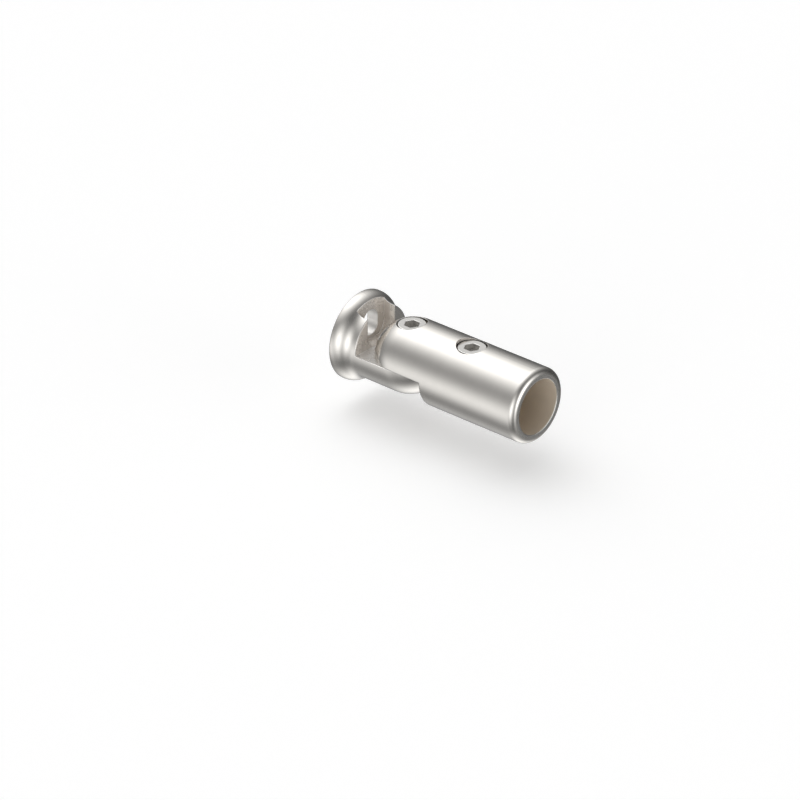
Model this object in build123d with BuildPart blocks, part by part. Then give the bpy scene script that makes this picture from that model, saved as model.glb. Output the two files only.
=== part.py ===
from build123d import *
import os

os.makedirs("parts", exist_ok=True)

# Articulated wall bracket that holds the end of a round stabilizer rod
# Origin at the centre of the flange's wall face, +X away from the wall, +Z up along the pivot

# Round body shared by the base and the rod socket
tube_radius = 11.0
total_length = 64.0

# Bore for the rod: a guiding land behind the mouth, then a relieved length under the clamp screw
rod_radius = 8.0
rod_clearance = 0.1
bore_depth = 30.0
relief_depth = 0.4
mouth_round = 1.8
mouth_chamfer = 0.1

# Wall flange: a rounded bead that runs through a cove into the hub
flange_radius = 13.3
bead_radius = 4.5
bead_centre_x = 0.7
cove_end_x = 6.6
hub_face_x = 7.7
hub_edge_round = 0.25

# Pocket in the hub for the head of the wall screw, open at the top, with an upright slot for its shank
pocket_depth = 3.9
pocket_radius = 5.7
pocket_centre_z = 4.4
wall_slot_width = 6.0
wall_slot_height = 7.9
wall_slot_z = 4.95

# Pivot through the two half-round tongues, one over the other
swivel_clearance = 1.0
base_end_setback = 0.5
socket_end_setback = 0.7
shoulder_clearance = 1.3
tongue_gap = 0.05

# Pivot screw: a cap screw that turns in the upper tongue and is threaded into the lower one
pivot_head_radius = 4.0
pivot_head_height = 4.0
pivot_head_sink = 1.2
pivot_shank_radius = 2.5
pivot_shank_length = 16.0
pivot_clearance = 0.08
recess_clearance = 0.4
thread_clearance = 0.05

# Clamp screw: a set screw threaded through the socket's upper wall
clamp_from_pivot = 21.5
clamp_radius = 4.0
clamp_length = 6.0
clamp_head_sink = 0.9
clamp_recess_depth = 1.6
land_margin = 1.0

# Hexagon drive and edge breaks of both screws
hex_across_flats = 4.0
hex_depth = 1.8
head_edge_break = 0.1
tip_edge_break = 0.5

# Sizes that follow from the ones above
bore_radius = rod_radius + rod_clearance
bore_end_x = total_length - bore_depth
bead_centre_r = flange_radius - bead_radius
flange_face_radius = bead_centre_r + (bead_radius**2 - bead_centre_x**2) ** 0.5
pocket_floor_x = hub_face_x - pocket_depth
pivot_x = hub_face_x + swivel_clearance + tube_radius - socket_end_setback
clamp_x = pivot_x + clamp_from_pivot
land_end_x = clamp_x + clamp_radius + land_margin
base_end_centre = pivot_x - base_end_setback
socket_end_centre = pivot_x + socket_end_setback
shoulder_x = base_end_centre + tube_radius + shoulder_clearance
lower_tongue_top = -tongue_gap / 2
upper_tongue_bottom = tongue_gap / 2
pivot_head_top_z = tube_radius - pivot_head_sink
pivot_seat_z = pivot_head_top_z - pivot_head_height
clamp_top_z = tube_radius - clamp_head_sink
clamp_tip_z = clamp_top_z - clamp_length
clear_of_all = 2 * tube_radius

# The cove touches both the bead and the hub, which gives its radius
cove_rise = tube_radius - bead_centre_r
cove_run = cove_end_x - bead_centre_x
cove_radius = (cove_run**2 + cove_rise**2 - bead_radius**2) / (2 * (bead_radius - cove_rise))
bead_share = bead_radius / (bead_radius + cove_radius)
cove_start_x = bead_centre_x + bead_share * cove_run
cove_start_r = bead_centre_r + bead_share * (cove_rise + cove_radius)


def hexagon_socket(screw_top):
    """Sink the hexagon drive of a screw into its top plane."""
    with BuildSketch(screw_top) as hexagon:
        RegularPolygon(hex_across_flats / 2, 6, major_radius=False)
    extrude(hexagon.sketch, amount=-hex_depth, mode=Mode.SUBTRACT)


# Wall base: flange, hub and lower tongue turned as one piece
with BuildPart() as wall_base:
    with BuildSketch(Plane.XZ):
        with BuildLine():
            Line((0, 0), (0, flange_face_radius))
            RadiusArc((0, flange_face_radius), (cove_start_x, cove_start_r), bead_radius)
            RadiusArc((cove_start_x, cove_start_r), (cove_end_x, tube_radius), -cove_radius)
            Line((cove_end_x, tube_radius), (base_end_centre, tube_radius))
            CenterArc((base_end_centre, 0), tube_radius, 0, 90)
            Line((base_end_centre + tube_radius, 0), (0, 0))
        make_face()
    revolve(axis=Axis.X)

    # Upper half cut away in front of the hub
    with BuildSketch(Plane.YZ.offset(hub_face_x)):
        with Locations((0, lower_tongue_top)):
            Rectangle(2 * clear_of_all, clear_of_all, align=(Align.CENTER, Align.MIN))
    extrude(amount=total_length, mode=Mode.SUBTRACT)
    hub_rim = wall_base.edges().filter_by(GeomType.CIRCLE).filter_by_position(Axis.X, hub_face_x, hub_face_x)
    fillet(hub_rim, hub_edge_round)

    # Pocket for the wall screw's head, with its bottom level with the tongue
    with BuildSketch(Plane.YZ.offset(pocket_floor_x)):
        with Locations((0, pocket_centre_z)):
            Circle(pocket_radius)
            Rectangle(2 * pocket_radius, clear_of_all, align=(Align.CENTER, Align.MIN))
        with Locations((0, lower_tongue_top)):
            Rectangle(2 * clear_of_all, clear_of_all, align=(Align.CENTER, Align.MAX), mode=Mode.SUBTRACT)
    extrude(amount=2 * pocket_depth, mode=Mode.SUBTRACT)

    # Slot for the wall screw, upright so that the bracket can be set level
    with BuildSketch(Plane.YZ.offset(pocket_floor_x)):
        with Locations((0, wall_slot_z)):
            SlotOverall(wall_slot_height, wall_slot_width, rotation=90)
    extrude(amount=-pocket_floor_x, mode=Mode.SUBTRACT)

    # Tapped hole for the pivot screw
    with Locations(Plane.XY.offset(lower_tongue_top) * Pos(pivot_x, 0)):
        Hole(pivot_shank_radius + thread_clearance, clear_of_all)

wall_base.part.label = "wall_base"
export_step(wall_base.part, "parts/wall_base.step")


# Rod socket: round barrel with the upper tongue
with BuildPart() as rod_socket:
    with BuildSketch(Plane.XZ):
        with BuildLine():
            CenterArc((socket_end_centre, 0), tube_radius, 90, 90)
            Line((socket_end_centre, tube_radius), (total_length - mouth_round, tube_radius))
            CenterArc((total_length - mouth_round, tube_radius - mouth_round), mouth_round, 0, 90)
            Line((total_length, tube_radius - mouth_round), (total_length, 0))
            Line((total_length, 0), (socket_end_centre - tube_radius, 0))
        make_face()
    revolve(axis=Axis.X)

    # Lower half cut away behind the shoulder
    with BuildSketch(Plane.YZ.offset(shoulder_x)):
        with Locations((0, upper_tongue_bottom)):
            Rectangle(2 * clear_of_all, clear_of_all, align=(Align.CENTER, Align.MAX))
    extrude(amount=-total_length, mode=Mode.SUBTRACT)

    # Bore for the rod, eased at the mouth and relieved behind the guiding land
    with BuildSketch(Plane.YZ.offset(total_length)):
        Circle(bore_radius)
    extrude(amount=-bore_depth, mode=Mode.SUBTRACT)
    mouth_edge = rod_socket.edges().filter_by(GeomType.CIRCLE).filter_by_position(
        Axis.X, total_length, total_length
    )
    chamfer(mouth_edge.sort_by(SortBy.RADIUS)[0], mouth_chamfer)
    with BuildSketch(Plane.YZ.offset(bore_end_x)):
        Circle(bore_radius + relief_depth)
    extrude(amount=land_end_x - bore_end_x, mode=Mode.SUBTRACT)

    # Hole and head recess for the pivot screw
    with Locations(Plane.XY.offset(pivot_seat_z) * Pos(pivot_x, 0)):
        Hole(pivot_shank_radius + pivot_clearance, clear_of_all)
    with BuildSketch(Plane.XY.offset(pivot_seat_z)):
        with Locations((pivot_x, 0)):
            Circle(pivot_head_radius + recess_clearance)
    extrude(amount=clear_of_all, mode=Mode.SUBTRACT)

    # Tapped hole for the clamp screw, with a short recess at the surface
    with BuildSketch(Plane.XY):
        with Locations((clamp_x, 0)):
            Circle(clamp_radius + thread_clearance)
    extrude(amount=clear_of_all, mode=Mode.SUBTRACT)
    with BuildSketch(Plane.XY.offset(tube_radius - clamp_recess_depth)):
        with Locations((clamp_x, 0)):
            Circle(clamp_radius + recess_clearance)
    extrude(amount=clear_of_all, mode=Mode.SUBTRACT)

rod_socket.part.label = "rod_socket"
export_step(rod_socket.part, "parts/rod_socket.step")


# Pivot screw: head, shank and hexagon drive
with BuildPart(Plane((pivot_x, 0, pivot_seat_z))) as pivot_screw:
    Cylinder(pivot_head_radius, pivot_head_height, align=(Align.CENTER, Align.CENTER, Align.MIN))
    chamfer(pivot_screw.edges().sort_by(Axis.Z)[-1], head_edge_break)
    Cylinder(pivot_shank_radius, pivot_shank_length, align=(Align.CENTER, Align.CENTER, Align.MAX))
    chamfer(pivot_screw.edges().sort_by(Axis.Z)[0], tip_edge_break)
    hexagon_socket(Plane((pivot_x, 0, pivot_head_top_z)))

pivot_screw.part.label = "pivot_screw"
export_step(pivot_screw.part, "parts/pivot_screw.step")


# Clamp screw: headless, with a chamfered tip
with BuildPart(Plane((clamp_x, 0, clamp_tip_z))) as clamp_screw:
    Cylinder(clamp_radius, clamp_length, align=(Align.CENTER, Align.CENTER, Align.MIN))
    chamfer(clamp_screw.edges().sort_by(Axis.Z)[-1], head_edge_break)
    chamfer(clamp_screw.edges().sort_by(Axis.Z)[0], tip_edge_break)
    hexagon_socket(Plane((clamp_x, 0, clamp_top_z)))

clamp_screw.part.label = "clamp_screw"
export_step(clamp_screw.part, "parts/clamp_screw.step")
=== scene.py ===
import math
import bpy
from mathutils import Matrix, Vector

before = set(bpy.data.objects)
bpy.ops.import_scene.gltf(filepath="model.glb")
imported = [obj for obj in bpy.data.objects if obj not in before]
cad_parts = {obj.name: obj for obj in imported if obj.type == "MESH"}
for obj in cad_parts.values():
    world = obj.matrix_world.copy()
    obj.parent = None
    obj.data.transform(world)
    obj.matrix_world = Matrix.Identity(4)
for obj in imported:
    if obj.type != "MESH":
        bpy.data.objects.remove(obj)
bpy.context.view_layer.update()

MM = 0.001
# Light bounces many times between the bright walls of the bore and the pocket
LIGHT_BOUNCES = 16
scene = bpy.context.scene
scene.view_settings.view_transform = "Standard"
scene.cycles.max_bounces = LIGHT_BOUNCES
scene.cycles.glossy_bounces = LIGHT_BOUNCES

# Camera, fitted to the bracket's outlines in the photograph: angles in degrees, lengths in millimetres
CAMERA_AZIMUTH = 40.67
CAMERA_ELEVATION = 29.40
CAMERA_DISTANCE = 1145.5
CAMERA_TARGET = (32.0, 0.0, 0.0)
TARGET_RIGHT_OF_CENTRE = 13.21
TARGET_ABOVE_CENTRE = 8.35
FOCAL_LENGTH = 187.1
SENSOR_WIDTH = 36.0
NEAREST_SEEN = 50.0
FARTHEST_SEEN = 20000.0

# Floor, with a slight glow of its own, and the plain backdrop that the camera sees: lengths in millimetres
FLOOR_Z = -19.0
FLOOR_HALF_SIZE = 6000.0
FLOOR_COLOUR = (0.93, 0.93, 0.93, 1.0)
FLOOR_ROUGHNESS = 0.9
FLOOR_SPECULAR = 0.1
FLOOR_GLOW = 0.3
BACKDROP_COLOUR = (0.96, 0.96, 0.96, 1.0)

# Light of the studio: a base level from everywhere, and soft lights, which are far away. Each
# has its azimuth, elevation and half width in degrees, then its strength, down to 37 percent at that width
LIGHT_COLOUR = (1.0, 1.0, 1.0, 1.0)
BASE_LIGHT = 0.04
STUDIO_LIGHTS = {
    "softbox above": (-110.0, 60.0, 40.0, 1.9),
    "low card at the left": (-40.0, -20.0, 25.0, 0.9),
    "wide light in front": (15.0, 0.0, 32.0, 1.7),
    "light at the right": (100.0, 0.0, 25.0, 2.5),
    "card below": (-170.0, -75.0, 30.0, 1.3),
}

# Steel finishes: lighter and darker tone, metallic share, roughness, strength of the grain and its stretch
TURNED_FINISH = ((0.76, 0.736, 0.698, 1), (0.73, 0.707, 0.670, 1), 1.0, 0.17, 0.12, (1.0, 0.06, 0.06))
FACED_FINISH = ((0.78, 0.765, 0.73, 1), (0.75, 0.735, 0.70, 1), 0.97, 0.2, 0.04, (1.0, 0.06, 0.06))
MILLED_FINISH = ((0.80, 0.745, 0.685, 1), (0.76, 0.71, 0.655, 1), 0.35, 0.28, 0.03, (0.4, 0.06, 1.0))
SLOT_FINISH = ((0.86, 0.84, 0.81, 1), (0.82, 0.80, 0.77, 1), 0.5, 0.3, 0.03, (1.0, 1.0, 0.1))
TONGUE_FINISH = ((0.72, 0.70, 0.675, 1), (0.70, 0.68, 0.655, 1), 0.35, 0.28, 0.03, (0.06, 1.0, 1.0))
DRILLED_FINISH = ((0.68, 0.59, 0.48, 1), (0.64, 0.555, 0.45, 1), 0.0, 0.5, 0.08, (1.0, 0.06, 0.06))
BROACHED_FINISH = ((0.62, 0.605, 0.58, 1), (0.57, 0.555, 0.53, 1), 0.6, 0.2, 0.02, (1.0, 1.0, 0.1))
SCREW_FINISH = ((0.73, 0.717, 0.693, 1), (0.69, 0.677, 0.654, 1), 1.0, 0.14, 0.04, (1.0, 1.0, 0.2))
# Painted shade: near-black colour for the narrow gap round the clamp screw, standing in for its shade
GAP_PAINTED_SHADE = ((0.10, 0.095, 0.09, 1), (0.07, 0.066, 0.062, 1), 0.4, 0.45, 0.08, (1.0, 1.0, 1.0))

# Noise in the finishes: cells per metre, levels of detail and the range of its values in use
TONE_SCALE = 140.0
ROUGHNESS_SCALE = 400.0
GRAIN_SCALE = 7000.0
CLOUD_DETAIL = 3.0
GRAIN_DETAIL = 2.0
NOISE_LOW = 0.3
NOISE_HIGH = 0.7
# How far roughness strays either way, and the grain's depth in millimetres
ROUGHNESS_SPREAD = 0.025
GRAIN_DEPTH = 0.02

# Worn edges, paler both from wear and as painted highlight: width in millimetres, and the cosine of the
# rounded surface's turn where wear and highlight start and are full
EDGE_WIDTH = 0.35
EDGE_SAMPLES = 12
WEAR_AND_HIGHLIGHT_STARTS = 0.99
WEAR_AND_HIGHLIGHT_FULL = 0.92
EDGE_WEAR_AND_HIGHLIGHT_COLOUR = (1.0, 0.985, 0.96, 1)
EDGE_METALLIC = 0.85
EDGE_ROUGHNESS = 0.08

# Limits between finishes: a place in the CAD frame, beside the real edge, and the width of the change there,
# in millimetres. A radius is from the tube's axis, or from the screw's axis for a drive or a recess
WORN_END_X = (62.0, 0.5)
BODY_INSIDE_RADIUS = (10.8, 0.1)
POCKET_FLOOR_X = (3.78, 0.02)
POCKET_SIDE_Y = (5.75, 0.02)
SLOT_END_X = (3.75, 0.04)
WALL_FACE_X = (0.2, 0.1)
HUB_FACE_X = (7.65, 0.05)
FAR_SIDE_Y = (5.65, 0.1)
TONGUE_START_X = (7.6, 0.1)
TONGUE_FLAT_LOW_Z = (-0.1, 0.05)
TONGUE_FLAT_HIGH_Z = (0.05, 0.05)
SOCKET_FLAT_Z = (0.1, 0.05)
SHOULDER_X = (30.9, 0.1)
RIM_RADIUS = (9.3, 0.3)
MOUTH_FACE_X = (63.88, 0.04)
BORE_RADIUS = (8.53, 0.04)
BORE_END_X = (33.5, 0.4)
RECESS_RADIUS = (4.47, 0.02)
RECESS_FLOOR_Z = (9.0, 0.2)
GAP_TOP_Z = (10.1, 0.15)
DRIVE_RADIUS = (2.37, 0.02)
DRIVE_BELOW_TOP = 0.08
DRIVE_CHANGE = 0.02

# Places of the lowest and highest corner in Blender's list of a box's corners
LOWEST_CORNER = 0
HIGHEST_CORNER = 6


class Graph:
    """Small helper that makes the nodes of a material or a world and joins them."""

    def __init__(self, tree):
        self.nodes = tree.nodes
        self.links = tree.links

    def put(self, value, socket):
        """Set a socket to a plain value, or join an output to it."""
        if isinstance(value, bpy.types.NodeSocket):
            self.links.new(value, socket)
        else:
            socket.default_value = value

    def math(self, operation, first, second=0.0):
        node = self.nodes.new("ShaderNodeMath")
        node.operation = operation
        self.put(first, node.inputs[0])
        self.put(second, node.inputs[1])
        return node.outputs[0]

    def facing(self, first, second):
        """Cosine of the angle between two directions."""
        node = self.nodes.new("ShaderNodeVectorMath")
        node.operation = "DOT_PRODUCT"
        self.put(first, node.inputs[0])
        self.put(second, node.inputs[1])
        return node.outputs["Value"]

    def blend(self, share, first, second):
        """Mix two shaders, with the second one where the share is 1."""
        node = self.nodes.new("ShaderNodeMixShader")
        for socket, value in zip(node.inputs, (share, first, second)):
            self.put(value, socket)
        return node.outputs[0]


class SteelGraph(Graph):
    """Nodes of one steel material, with the place on the part and the worn edges, with painted highlight,
    that its finishes share.
    """

    def __init__(self, node):
        self.node = node
        self.material = bpy.data.materials.new("steel_" + node)
        self.material.use_nodes = True
        super().__init__(self.material.node_tree)
        self.position = self.nodes.new("ShaderNodeTexCoord").outputs["Object"]
        split = self.nodes.new("ShaderNodeSeparateXYZ")
        self.links.new(self.position, split.inputs[0])
        self.x, self.y, self.z = split.outputs
        bevel = self.nodes.new("ShaderNodeBevel")
        bevel.samples = EDGE_SAMPLES
        bevel.inputs["Radius"].default_value = EDGE_WIDTH * MM
        self.rounded = bevel.outputs[0]
        flat = self.nodes.new("ShaderNodeNewGeometry").outputs["Normal"]
        wear_and_highlight = self.spread(self.facing(self.rounded, flat), 1.0, 0.0, WEAR_AND_HIGHLIGHT_FULL, WEAR_AND_HIGHLIGHT_STARTS)
        self.edges = self.math("MULTIPLY", wear_and_highlight, self.below(self.x, WORN_END_X))

    def noise(self, scale, detail=CLOUD_DETAIL, stretch=(1.0, 1.0, 1.0)):
        """Noise over the object's own coordinates, stretched along the axes with a small factor."""
        mapping = self.nodes.new("ShaderNodeMapping")
        mapping.inputs["Scale"].default_value = stretch
        self.links.new(self.position, mapping.inputs["Vector"])
        node = self.nodes.new("ShaderNodeTexNoise")
        node.inputs["Scale"].default_value = scale
        node.inputs["Detail"].default_value = detail
        self.links.new(mapping.outputs["Vector"], node.inputs["Vector"])
        return node.outputs["Fac"]

    def spread(self, value, low, high, from_low=NOISE_LOW, from_high=NOISE_HIGH):
        """Map a value from one range on to another, and hold it within that."""
        node = self.nodes.new("ShaderNodeMapRange")
        node.inputs["From Min"].default_value = from_low
        node.inputs["From Max"].default_value = from_high
        node.inputs["To Min"].default_value = low
        node.inputs["To Max"].default_value = high
        self.links.new(value, node.inputs["Value"])
        return node.outputs["Result"]

    def above(self, value, limit):
        """0 below a limit and 1 above it, with a soft change between."""
        place, width = limit
        return self.spread(value, 0.0, 1.0, (place - width / 2) * MM, (place + width / 2) * MM)

    def below(self, value, limit):
        """1 below a limit and 0 above it, with a soft change between."""
        place, width = limit
        return self.spread(value, 1.0, 0.0, (place - width / 2) * MM, (place + width / 2) * MM)

    def overlap(self, *masks):
        """Where all of the masks are 1."""
        share = masks[0]
        for mask in masks[1:]:
            share = self.math("MULTIPLY", share, mask)
        return share

    def distance(self, first, second):
        """Distance from an axis, from the two coordinates across it."""
        squares = self.math("ADD", self.math("POWER", first, 2.0), self.math("POWER", second, 2.0))
        return self.math("SQRT", squares)

    def mix(self, share, first, second):
        """Mix two colours, with the second one where the share is 1."""
        node = self.nodes.new("ShaderNodeMix")
        node.data_type = "RGBA"
        self.put(share, node.inputs["Factor"])
        self.put(first, node.inputs["A"])
        self.put(second, node.inputs["B"])
        return node.outputs["Result"]

    def bump(self, height, strength, rounded):
        """Fine relief, on the rounded or on the plain surface."""
        node = self.nodes.new("ShaderNodeBump")
        node.inputs["Strength"].default_value = strength
        node.inputs["Distance"].default_value = GRAIN_DEPTH * MM
        self.links.new(height, node.inputs["Height"])
        if rounded:
            self.links.new(self.rounded, node.inputs["Normal"])
        return node.outputs["Normal"]

    def steel(self, finish, rounded=True):
        """One finish: tone clouds, fine grain, uneven roughness, and if rounded paler, rougher edges, which
        are wear and painted highlight.
        """
        light, dark, metallic, roughness, grain, stretch = finish
        shader = self.nodes.new("ShaderNodeBsdfPrincipled")
        tone = self.mix(self.spread(self.noise(TONE_SCALE), 0.0, 1.0), light, dark)
        smoothest = roughness - ROUGHNESS_SPREAD
        roughest = roughness + ROUGHNESS_SPREAD
        uneven = self.spread(self.noise(ROUGHNESS_SCALE), smoothest, roughest)
        if rounded:
            # Edges paler: wear and painted highlight
            tone = self.mix(self.edges, tone, EDGE_WEAR_AND_HIGHLIGHT_COLOUR)
            metallic = self.spread(self.edges, metallic, EDGE_METALLIC, 0.0, 1.0)
            uneven = self.math("ADD", uneven, self.math("MULTIPLY", self.edges, EDGE_ROUGHNESS))
        self.put(tone, shader.inputs["Base Color"])
        self.put(metallic, shader.inputs["Metallic"])
        self.put(uneven, shader.inputs["Roughness"])
        lines = self.noise(GRAIN_SCALE, GRAIN_DETAIL, stretch)
        self.put(self.bump(lines, grain, rounded), shader.inputs["Normal"])
        return shader.outputs[0]

    def cover(self, surface, mask, finish, rounded=True):
        """The surface with another finish over it where the mask is 1."""
        return self.blend(mask, surface, self.steel(finish, rounded))


def view_axes(azimuth, elevation):
    """Right, up and back directions of a camera that looks at the object from these angles."""
    turn = math.radians(azimuth)
    rise = math.radians(elevation)
    back = Vector((math.sin(turn) * math.cos(rise), -math.cos(turn) * math.cos(rise), math.sin(rise)))
    right = Vector((math.cos(turn), math.sin(turn), 0.0))
    return right, back.cross(right), back


def add_camera():
    right, up, back = view_axes(CAMERA_AZIMUTH, CAMERA_ELEVATION)
    aim = Vector(CAMERA_TARGET) - right * TARGET_RIGHT_OF_CENTRE - up * TARGET_ABOVE_CENTRE
    data = bpy.data.cameras.new("camera")
    data.sensor_width = SENSOR_WIDTH
    data.lens = FOCAL_LENGTH
    data.clip_start = NEAREST_SEEN * MM
    data.clip_end = FARTHEST_SEEN * MM
    camera = bpy.data.objects.new("camera", data)
    camera.location = (aim + back * CAMERA_DISTANCE) * MM
    camera.rotation_euler = (-back).to_track_quat("-Z", "Y").to_euler()
    scene.collection.objects.link(camera)
    scene.camera = camera


def pale_floor():
    """Material of the floor: plain, dull and pale."""
    material = bpy.data.materials.new("pale_floor")
    material.use_nodes = True
    shader = material.node_tree.nodes["Principled BSDF"]
    shader.inputs["Base Color"].default_value = FLOOR_COLOUR
    shader.inputs["Roughness"].default_value = FLOOR_ROUGHNESS
    shader.inputs["Specular IOR Level"].default_value = FLOOR_SPECULAR
    shader.inputs["Emission Color"].default_value = FLOOR_COLOUR
    shader.inputs["Emission Strength"].default_value = FLOOR_GLOW
    return material


def add_floor():
    """A wide floor that isn't seen in the steel's reflections, where the studio's lights take its place."""
    half = FLOOR_HALF_SIZE * MM
    height = FLOOR_Z * MM
    corners = [(-half, -half, height), (half, -half, height), (half, half, height), (-half, half, height)]
    mesh = bpy.data.meshes.new("floor")
    mesh.from_pydata(corners, [], [(0, 1, 2, 3)])
    mesh.materials.append(pale_floor())
    floor = bpy.data.objects.new("floor", mesh)
    scene.collection.objects.link(floor)
    floor.visible_glossy = False


def add_world():
    """A plain room of soft lights, of which the camera itself sees only the backdrop."""
    world = bpy.data.worlds.new("studio")
    scene.world = world
    world.use_nodes = True
    # The lights are so wide that the renderer need not aim at them
    world.cycles.sampling_method = "NONE"
    graph = Graph(world.node_tree)
    direction = graph.nodes.new("ShaderNodeTexCoord").outputs["Generated"]
    total = BASE_LIGHT
    for azimuth, elevation, half_width, strength in STUDIO_LIGHTS.values():
        towards_light = view_axes(azimuth, elevation)[2]
        fall = graph.math("SUBTRACT", graph.facing(direction, towards_light), 1.0)
        fall = graph.math("DIVIDE", fall, 1.0 - math.cos(math.radians(half_width)))
        glow = graph.math("MULTIPLY", graph.math("EXPONENT", fall), strength)
        total = graph.math("ADD", glow, total)
    room = graph.nodes["Background"]
    room.inputs["Color"].default_value = LIGHT_COLOUR
    graph.links.new(total, room.inputs["Strength"])
    backdrop = graph.nodes.new("ShaderNodeBackground")
    backdrop.inputs["Color"].default_value = BACKDROP_COLOUR
    seen = graph.nodes.new("ShaderNodeLightPath").outputs["Is Camera Ray"]
    surface = graph.blend(seen, room.outputs[0], backdrop.outputs[0])
    graph.links.new(surface, graph.nodes["World Output"].inputs["Surface"])


def screw_place(node):
    """Axis and top of a screw, from the box of its CAD node, in millimetres."""
    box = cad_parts[node].bound_box
    axis_x = (box[LOWEST_CORNER][0] + box[HIGHEST_CORNER][0]) / 2
    return axis_x / MM, box[HIGHEST_CORNER][2] / MM


def screw_steel(graph):
    """Either screw: turned, with a broached hexagon drive."""
    axis_x, top_z = screw_place(graph.node)
    from_axis = graph.distance(graph.math("SUBTRACT", graph.x, axis_x * MM), graph.y)
    under_top = graph.below(graph.z, (top_z - DRIVE_BELOW_TOP, DRIVE_CHANGE))
    drive = graph.overlap(graph.below(from_axis, DRIVE_RADIUS), under_top)
    return graph.cover(graph.steel(SCREW_FINISH), drive, BROACHED_FINISH, rounded=False)


def wall_base_steel(graph):
    """Wall base: turned outside, with cut finishes on the pocket, the slot, the hub's face and the tongue."""
    pocket_width = graph.below(graph.math("ABSOLUTE", graph.y), POCKET_SIDE_Y)
    pocket = graph.overlap(graph.above(graph.x, POCKET_FLOOR_X), pocket_width)
    body = graph.below(graph.distance(graph.y, graph.z), BODY_INSIDE_RADIUS)
    inside = graph.math("MAXIMUM", body, pocket)
    over_flat = graph.above(graph.z, TONGUE_FLAT_LOW_Z)
    off_wall = graph.above(graph.x, WALL_FACE_X)
    # Painted shade: past the pocket the hub's face stays turned, so that this half of the one face renders
    # darker
    painted_shade_far_face = graph.overlap(graph.above(graph.x, HUB_FACE_X), graph.above(graph.y, FAR_SIDE_Y))
    cut_area = graph.overlap(inside, over_flat, off_wall, graph.math("SUBTRACT", 1.0, painted_shade_far_face))
    tongue = graph.overlap(graph.below(graph.z, TONGUE_FLAT_HIGH_Z), graph.above(graph.x, TONGUE_START_X))
    cut = graph.cover(graph.steel(MILLED_FINISH), tongue, TONGUE_FINISH)
    cut = graph.cover(cut, graph.below(graph.x, SLOT_END_X), SLOT_FINISH)
    return graph.blend(cut_area, graph.steel(TURNED_FINISH), cut)


def rod_socket_steel(graph):
    """Rod socket: turned outside, with milled flat and screw recess, faced mouth and drilled bore."""
    radius = graph.distance(graph.y, graph.z)
    flat = graph.overlap(
        graph.below(radius, BODY_INSIDE_RADIUS),
        graph.below(graph.z, SOCKET_FLAT_Z),
        graph.below(graph.x, SHOULDER_X),
    )
    mouth = graph.overlap(graph.below(radius, RIM_RADIUS), graph.above(graph.x, MOUTH_FACE_X))
    bore = graph.overlap(
        graph.below(radius, BORE_RADIUS),
        graph.above(graph.x, BORE_END_X),
        graph.below(graph.x, MOUTH_FACE_X),
    )
    clamp_x = screw_place("clamp_screw")[0]
    from_clamp = graph.distance(graph.math("SUBTRACT", graph.x, clamp_x * MM), graph.y)
    recess = graph.overlap(graph.below(from_clamp, RECESS_RADIUS), graph.above(graph.z, RECESS_FLOOR_Z))
    # Painted shade in the narrow gap round the clamp screw
    gap = graph.overlap(recess, graph.below(graph.z, GAP_TOP_Z))
    surface = graph.cover(graph.steel(TURNED_FINISH), flat, MILLED_FINISH)
    surface = graph.cover(surface, mouth, FACED_FINISH)
    surface = graph.cover(surface, bore, DRILLED_FINISH)
    surface = graph.cover(surface, recess, MILLED_FINISH, rounded=False)
    return graph.cover(surface, gap, GAP_PAINTED_SHADE, rounded=False)


SURFACES = {
    "wall_base": wall_base_steel,
    "rod_socket": rod_socket_steel,
    "pivot_screw": screw_steel,
    "clamp_screw": screw_steel,
}


def dress(node, surface):
    """Give a CAD node the material that its surface function makes."""
    graph = SteelGraph(node)
    graph.links.new(surface(graph), graph.nodes["Material Output"].inputs["Surface"])
    graph.nodes.remove(graph.nodes["Principled BSDF"])
    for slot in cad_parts[node].material_slots:
        slot.material = graph.material


add_camera()
add_floor()
add_world()
for node, surface in SURFACES.items():
    dress(node, surface)
